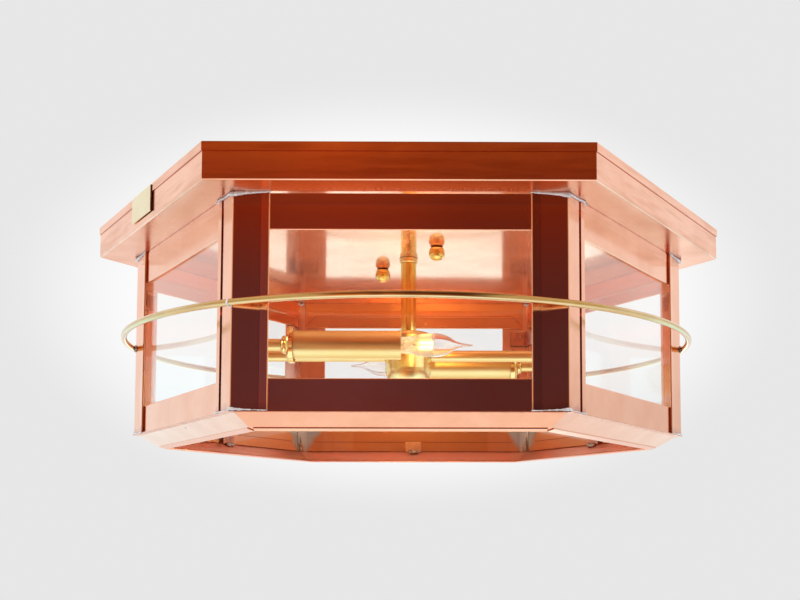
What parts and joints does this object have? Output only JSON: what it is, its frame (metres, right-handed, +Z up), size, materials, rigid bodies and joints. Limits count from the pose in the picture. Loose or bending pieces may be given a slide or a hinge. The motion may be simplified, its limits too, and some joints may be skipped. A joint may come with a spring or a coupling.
{
  "type": "flush mount ceiling lantern",
  "caption": "Hexagonal copper flush mount ceiling lantern: folded pan, hemmed corner posts, clear panes, rod guard ring, open bottom, and flat candle arms with screw-in flame bulbs.",
  "frame": {"origin": "middle of the ceiling plane, at the top face of the mounting strap", "axes": "+Z up into the ceiling, a flat side of the hexagon faces -Y, a corner faces +X"},
  "size_m": [0.5098, 0.4554, 0.1832],
  "materials": {
    "polished_copper": "polished copper sheet, hand soldered",
    "polished_brass": "polished",
    "window_glass": "clear",
    "bulb_glass": "clear",
    "bulb_metal": "plated",
    "filament": "clear mount with warm filament",
    "socket_plastic": "moulded",
    "zinc_steel": "zinc plated"
  },
  "bodies": {
    "lantern": {"arm_bead_1": "polished_brass", "arm_bead_2": "polished_brass", "bottom_frame": "polished_copper", "bottom_glass_clips": "polished_copper", "bottom_rail_1": "polished_copper", "bottom_rail_2": "polished_copper", "bottom_rail_3": "polished_copper", "bottom_rail_4": "polished_copper", "bottom_rail_5": "polished_copper", "bottom_rail_6": "polished_copper", "candle_cup_1": "polished_brass", "candle_cup_2": "polished_brass", "candle_sleeve_1": "polished_brass", "candle_sleeve_2": "polished_brass", "canopy_pan": "polished_copper", "corner_post_1": "polished_copper", "corner_post_2": "polished_copper", "corner_post_3": "polished_copper", "corner_post_4": "polished_copper", "corner_post_5": "polished_copper", "corner_post_6": "polished_copper", "glass_pane_1": "window_glass", "glass_pane_2": "window_glass", "glass_pane_3": "window_glass", "glass_pane_4": "window_glass", "glass_pane_5": "window_glass", "glass_pane_6": "window_glass", "guard_ring": "polished_brass", "hub_body": "polished_brass", "hub_cap": "polished_brass", "lamp_arm_1": "polished_brass", "lamp_arm_2": "polished_brass", "lamp_socket_1": "socket_plastic", "lamp_socket_2": "socket_plastic", "mount_strap": "zinc_steel", "mount_studs": "zinc_steel", "nipple_nut": "zinc_steel", "nipple_washer": "zinc_steel", "post_glass_clips": "polished_copper", "rim_tag": "polished_brass", "stem": "polished_brass", "stem_collar": "polished_brass", "stem_nipple": "zinc_steel", "strap_nuts": "zinc_steel", "top_rail_1": "polished_copper", "top_rail_2": "polished_copper", "top_rail_3": "polished_copper", "top_rail_4": "polished_copper", "top_rail_5": "polished_copper", "top_rail_6": "polished_copper"},
    "nut_1": {"ball_nut_1": "polished_brass"},
    "nut_2": {"ball_nut_2": "polished_brass"},
    "bulb_1": {"bulb_base_1": "bulb_metal", "bulb_filament_1": "filament", "bulb_glass_1": "bulb_glass"},
    "bulb_2": {"bulb_base_2": "bulb_metal", "bulb_filament_2": "filament", "bulb_glass_2": "bulb_glass"}
  },
  "joints": [
    {"name": "nut_1_turn", "type": "hinge", "parent": "lantern", "child": "nut_1", "pos_m": [0.02325, -0.04027, -0.03035], "axis": [0, 0, 1], "continuous": true},
    {"name": "nut_2_turn", "type": "hinge", "parent": "lantern", "child": "nut_2", "pos_m": [-0.02325, 0.04027, -0.03035], "axis": [0, 0, 1], "continuous": true},
    {"name": "bulb_1_turn", "type": "hinge", "parent": "lantern", "child": "bulb_1", "pos_m": [0, -0.057, -0.1066], "axis": [1, 0, 0], "continuous": true},
    {"name": "bulb_2_turn", "type": "hinge", "parent": "lantern", "child": "bulb_2", "pos_m": [0, 0.057, -0.1066], "axis": [-1, 0, 0], "continuous": true}
  ]
}
